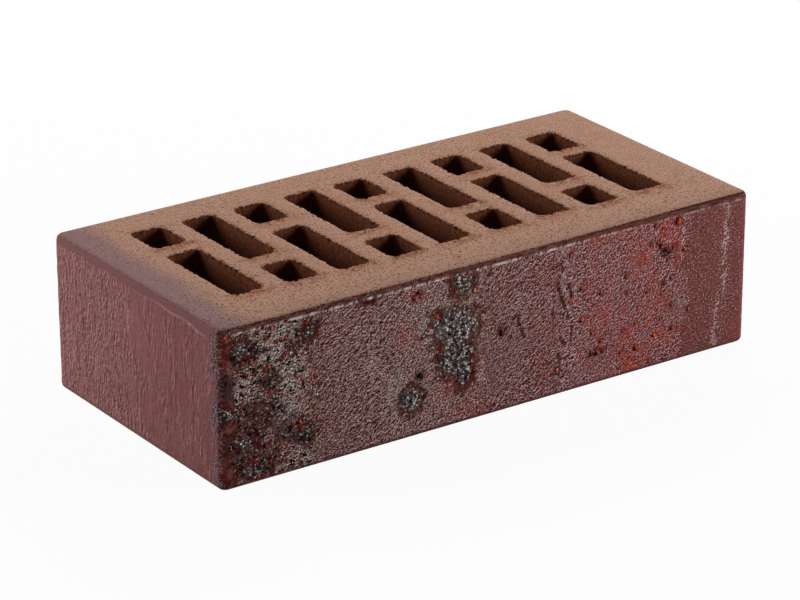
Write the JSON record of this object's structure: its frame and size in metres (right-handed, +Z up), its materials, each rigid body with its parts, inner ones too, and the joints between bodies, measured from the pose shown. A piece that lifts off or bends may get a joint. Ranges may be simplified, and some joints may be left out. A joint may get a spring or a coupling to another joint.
{
  "type": "perforated clay facing brick",
  "caption": "Extruded clay facing brick with staggered long and short through slots, bevelled arrises and a flashed, slag-specked face, for laying in mortar.",
  "frame": {"origin": "middle of the lower bed face, where the brick rests", "axes": "+X along the length, +Y from the textured face to the back, +Z up from bed to bed"},
  "size_m": [0.25, 0.12, 0.065],
  "materials": {
    "fired_clay": "matt fired clay: sandy brown wire-cut beds, mauve-brown flashed faces with slag and red grains"
  },
  "bodies": {
    "root": {"brick": "fired_clay"}
  },
  "joints": []
}
